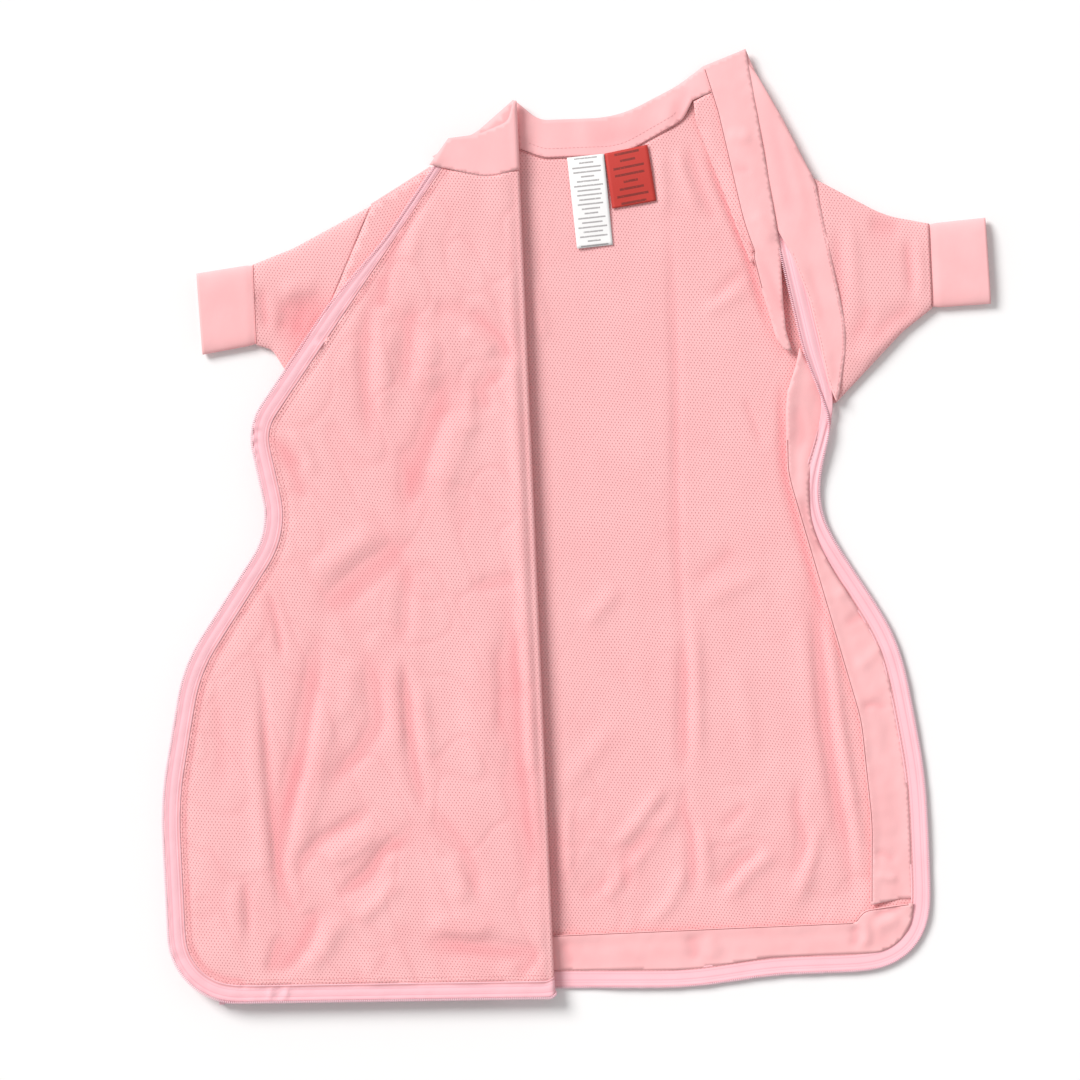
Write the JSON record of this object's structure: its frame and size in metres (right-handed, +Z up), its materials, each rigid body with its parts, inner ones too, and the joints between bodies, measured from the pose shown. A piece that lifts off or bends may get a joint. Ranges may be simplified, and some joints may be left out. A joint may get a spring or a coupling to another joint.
{
  "type": "baby sleeping bag",
  "caption": "Short-sleeved baby sleeping bag laid open on a flat surface, its zipped front folded back to show the inside.",
  "frame": {"origin": "bottom centre of the bounding box, on the surface the bag lies on", "axes": "+X to the right of the open bag, the wearer's left; +Y towards the neck; +Z up from the surface"},
  "size_m": [0.6623, 0.732, 0.0168],
  "materials": {
    "mesh_knit": "soft cotton knit with small eyelets",
    "plain_jersey": "smooth cotton jersey",
    "zip_tape": "woven tape",
    "zip_coil": "nylon coil",
    "white_label": "printed satin",
    "red_label": "satin",
    "zip_metal": "painted to match the tape"
  },
  "bodies": {
    "shell": {"back_panel": "mesh_knit", "front_panel_left": "mesh_knit", "neckband_back": "plain_jersey", "neckband_left": "plain_jersey", "yoke_right": "plain_jersey", "yoke_lining": "mesh_knit", "side_seam_left": "mesh_knit", "shoulder_seam_left": "mesh_knit", "shoulder_seam_right": "mesh_knit", "zip_guard_neck": "plain_jersey", "zip_guard_side": "plain_jersey", "zip_guard_hem": "plain_jersey", "zip_tape_back": "zip_tape", "zip_tape_front": "zip_tape", "zip_tape_yoke": "zip_tape", "zip_teeth_back": "zip_coil", "zip_teeth_front": "zip_coil", "zip_teeth_yoke": "zip_coil", "sleeve_left": "mesh_knit", "sleeve_right": "mesh_knit", "care_label": "white_label", "size_label": "red_label", "zip_stop_bottom": "zip_metal", "zip_stop_yoke": "zip_metal"},
    "flap": {"front_panel_flap": "mesh_knit", "neckband_flap": "plain_jersey", "zip_tape_flap": "zip_tape", "zip_teeth_flap": "zip_coil", "zip_stop_flap": "zip_metal"},
    "slider": {"zip_slider": "zip_metal", "zip_bridge": "zip_metal"},
    "pull": {"zip_pull": "zip_metal"},
    "cuff_left": {"cuff_left": "plain_jersey"},
    "cuff_right": {"cuff_right": "plain_jersey"}
  },
  "joints": [
    {"name": "flap_fold", "type": "hinge", "parent": "shell", "child": "flap", "pos_m": [-0.033, 0, 0.0112], "axis": [0, 1, 0], "range_deg": [0, 179.5]},
    {"name": "slider_slide", "type": "slide", "parent": "shell", "child": "slider", "axis": [1, 0, 0], "range_m": [-0.215, 0.025]},
    {"name": "pull_swing", "type": "hinge", "parent": "slider", "child": "pull", "pos_m": [-0.066, -0.3626, 0.0048], "axis": [0, 0, -1], "range_deg": [0, 180]},
    {"name": "cuff_left_fold", "type": "hinge", "parent": "shell", "child": "cuff_left", "pos_m": [-0.242, 0.18, 0.01], "axis": [0, 1, 0], "range_deg": [0, 120]},
    {"name": "cuff_right_fold", "type": "hinge", "parent": "shell", "child": "cuff_right", "pos_m": [0.2865, 0.19, 0.01], "axis": [0, -1, 0], "range_deg": [0, 120]}
  ]
}
